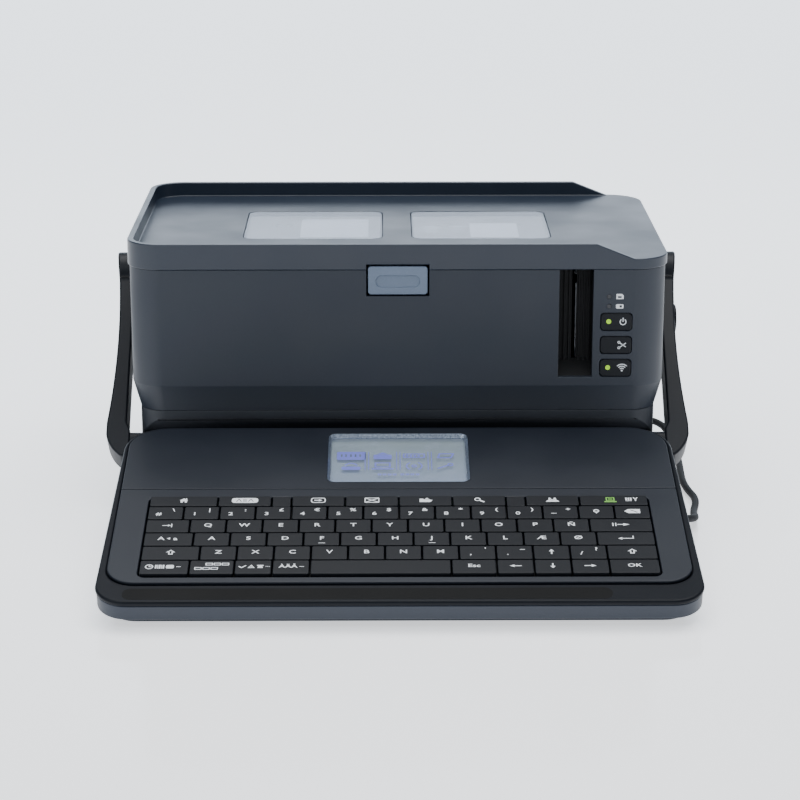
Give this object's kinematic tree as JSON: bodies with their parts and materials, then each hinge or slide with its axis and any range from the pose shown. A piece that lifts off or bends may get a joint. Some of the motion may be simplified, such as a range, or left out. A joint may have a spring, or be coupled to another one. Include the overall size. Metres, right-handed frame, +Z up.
{
  "type": "desktop label maker",
  "caption": "Desktop label maker: printer unit with hinged tray cover, folding carry handle and front tape slot, joined by a short cable to a sloping keyboard unit with display",
  "frame": {"origin": "on the table, under the middle of the bounding box of the printer and keyboard", "axes": "+X to the right seen from the keyboard, +Y from the keyboard to the back of the printer, +Z up"},
  "size_m": [0.3233, 0.344, 0.149],
  "materials": {
    "base_plastic": "fine textured black",
    "body_plastic": "fine grained dark blue-grey",
    "cover_plastic": "satin dark blue-grey",
    "window": "clear smoked",
    "battery_wrap": "shrink wrap",
    "rubber": "matt black",
    "steel": "plain steel",
    "inner_plastic": "moulded black",
    "slot_plastic": "moulded black",
    "cassette_plastic": "moulded grey",
    "head_aluminium": "plain",
    "gear_plastic": "natural white",
    "brass": "machined",
    "motor_steel": "drawn can",
    "board": "solder mask",
    "lamp": "clear lens",
    "key_plastic": "satin",
    "latch_plastic": "satin grey-blue",
    "port_plastic": "moulded black",
    "port_metal": "plated shell",
    "cable_jacket": "smooth jacket",
    "handle_plastic": "satin black",
    "keyboard_plastic": "satin blue-black",
    "panel_plastic": "fine satin",
    "display": "grey-green display"
  },
  "bodies": {
    "printer": {"base_tray": "base_plastic", "battery_cover": "base_plastic", "battery_pack": "battery_wrap", "body_shell": "body_plastic", "button_board": "board", "cable": "cable_jacket", "case_screws": "steel", "cover_hinge_pins": "steel", "cutter_motor": "motor_steel", "data_port": "port_metal", "dc_inlet": "port_plastic", "exit_guide": "slot_plastic", "feed_motor": "motor_steel", "handle_pivot_pins": "steel", "inner_chassis": "inner_plastic", "latch_spring": "steel", "main_board": "board", "mechanism_frame": "steel", "print_head": "head_aluminium", "printer_feet": "rubber", "printer_gland": "rubber", "status_lamps": "lamp", "tape_cassettes": "cassette_plastic"},
    "cover": {"top_cover": "cover_plastic", "cover_windows": "window"},
    "handle": {"handle_arm_left": "handle_plastic", "handle_arm_right": "handle_plastic", "handle_grip": "handle_plastic"},
    "latch": {"latch_button": "latch_plastic"},
    "power": {"power_button": "key_plastic"},
    "cut": {"cut_button": "key_plastic"},
    "wireless": {"wireless_button": "key_plastic"},
    "platen": {"platen_shaft": "steel", "platen_roller": "rubber", "platen_gear": "gear_plastic"},
    "idler": {"idler_gear": "gear_plastic"},
    "motor_rotor": {"motor_pinion": "brass"},
    "cutter": {"cutter_blade": "steel"},
    "cutter_rotor": {"cutter_pinion": "brass"},
    "keyboard": {"keyboard_case": "keyboard_plastic", "keyboard_frame": "keyboard_plastic", "display_panel": "panel_plastic", "key_bezel": "panel_plastic", "lcd_window": "window", "lcd_module": "display", "key_board": "board", "key_mat": "rubber", "key_fillers": "key_plastic", "keyboard_feet": "rubber", "keyboard_screws": "steel", "keyboard_gland": "rubber"},
    "keys_bottom_body": {"keys_bottom": "key_plastic"},
    "keys_lower_body": {"keys_lower": "key_plastic"},
    "keys_home_body": {"keys_home": "key_plastic"},
    "keys_upper_body": {"keys_upper": "key_plastic"},
    "keys_number_body": {"keys_number": "key_plastic"},
    "keys_function_body": {"keys_function": "key_plastic"},
    "space_key_body": {"space_key": "key_plastic"},
    "enter_key_body": {"enter_key": "key_plastic"},
    "print_key_body": {"print_key": "key_plastic"}
  },
  "joints": [
    {"name": "cover_hinge", "type": "hinge", "parent": "printer", "child": "cover", "pos_m": [0, 0.1685, 0.1344], "axis": [-1, 0, 0], "range_deg": [0, 75]},
    {"name": "handle_swing", "type": "hinge", "parent": "printer", "child": "handle", "pos_m": [0, 0.092, 0.112], "axis": [-1, 0, 0], "range_deg": [0, 135]},
    {"name": "latch_press", "type": "slide", "parent": "printer", "child": "latch", "axis": [0, 1, 0], "range_m": [0, 0.0025], "stiffness_N_per_m": 120, "springref_m": -0.001, "deforming": ["latch_spring"]},
    {"name": "power_press", "type": "slide", "parent": "printer", "child": "power", "axis": [0, 1, 0], "range_m": [0, 0.001], "stiffness_N_per_m": 60, "springref_m": -0.0006},
    {"name": "cut_press", "type": "slide", "parent": "printer", "child": "cut", "axis": [0, 1, 0], "range_m": [0, 0.001], "stiffness_N_per_m": 60, "springref_m": -0.0006},
    {"name": "wireless_press", "type": "slide", "parent": "printer", "child": "wireless", "axis": [0, 1, 0], "range_m": [0, 0.001], "stiffness_N_per_m": 60, "springref_m": -0.0006},
    {"name": "platen_spin", "type": "hinge", "parent": "printer", "child": "platen", "pos_m": [0.1009, 0.05, 0.1], "axis": [0, 0, 1], "continuous": true},
    {"name": "idler_spin", "type": "hinge", "parent": "printer", "child": "idler", "pos_m": [0.12238, 0.05226, 0.074], "axis": [0, 0, 1], "continuous": true},
    {"name": "motor_spin", "type": "hinge", "parent": "printer", "child": "motor_rotor", "pos_m": [0.12472, 0.06889, 0.074], "axis": [0, 0, 1], "continuous": true},
    {"name": "cutter_stroke", "type": "slide", "parent": "printer", "child": "cutter", "axis": [-1, 0, 0], "range_m": [0, 0.008]},
    {"name": "cutter_spin", "type": "hinge", "parent": "printer", "child": "cutter_rotor", "pos_m": [0.109, 0.03502, 0.082], "axis": [0, 0, 1], "range_deg": [-96, 0]},
    {"name": "keyboard_slide", "type": "slide", "parent": "printer", "child": "keyboard", "axis": [0, -1, 0], "range_m": [0, 0.04]},
    {"name": "bottom_row_press", "type": "slide", "parent": "keyboard", "child": "keys_bottom_body", "axis": [0, 0.2164, -0.9763], "range_m": [0, 0.0015], "stiffness_N_per_m": 150, "springref_m": -0.001},
    {"name": "lower_row_press", "type": "slide", "parent": "keyboard", "child": "keys_lower_body", "axis": [0, 0.2164, -0.9763], "range_m": [0, 0.0015], "stiffness_N_per_m": 150, "springref_m": -0.001},
    {"name": "home_row_press", "type": "slide", "parent": "keyboard", "child": "keys_home_body", "axis": [0, 0.2164, -0.9763], "range_m": [0, 0.0015], "stiffness_N_per_m": 150, "springref_m": -0.001},
    {"name": "upper_row_press", "type": "slide", "parent": "keyboard", "child": "keys_upper_body", "axis": [0, 0.2164, -0.9763], "range_m": [0, 0.0015], "stiffness_N_per_m": 150, "springref_m": -0.001},
    {"name": "number_row_press", "type": "slide", "parent": "keyboard", "child": "keys_number_body", "axis": [0, 0.2164, -0.9763], "range_m": [0, 0.0015], "stiffness_N_per_m": 150, "springref_m": -0.001},
    {"name": "function_row_press", "type": "slide", "parent": "keyboard", "child": "keys_function_body", "axis": [0, 0.2164, -0.9763], "range_m": [0, 0.0015], "stiffness_N_per_m": 150, "springref_m": -0.001},
    {"name": "space_press", "type": "slide", "parent": "keyboard", "child": "space_key_body", "axis": [0, 0.2164, -0.9763], "range_m": [0, 0.0015], "stiffness_N_per_m": 150, "springref_m": -0.001},
    {"name": "enter_press", "type": "slide", "parent": "keyboard", "child": "enter_key_body", "axis": [0, 0.2164, -0.9763], "range_m": [0, 0.0015], "stiffness_N_per_m": 60, "springref_m": -0.001},
    {"name": "print_press", "type": "slide", "parent": "keyboard", "child": "print_key_body", "axis": [0, 0.2164, -0.9763], "range_m": [0, 0.0015], "stiffness_N_per_m": 60, "springref_m": -0.001}
  ],
  "couplings": [
    {"joint": "idler_spin", "follows": "platen_spin", "ratio": -0.8},
    {"joint": "motor_spin", "follows": "platen_spin", "ratio": 2},
    {"joint": "cutter_spin", "follows": "cutter_stroke", "rad_per_m": -208.33}
  ]
}
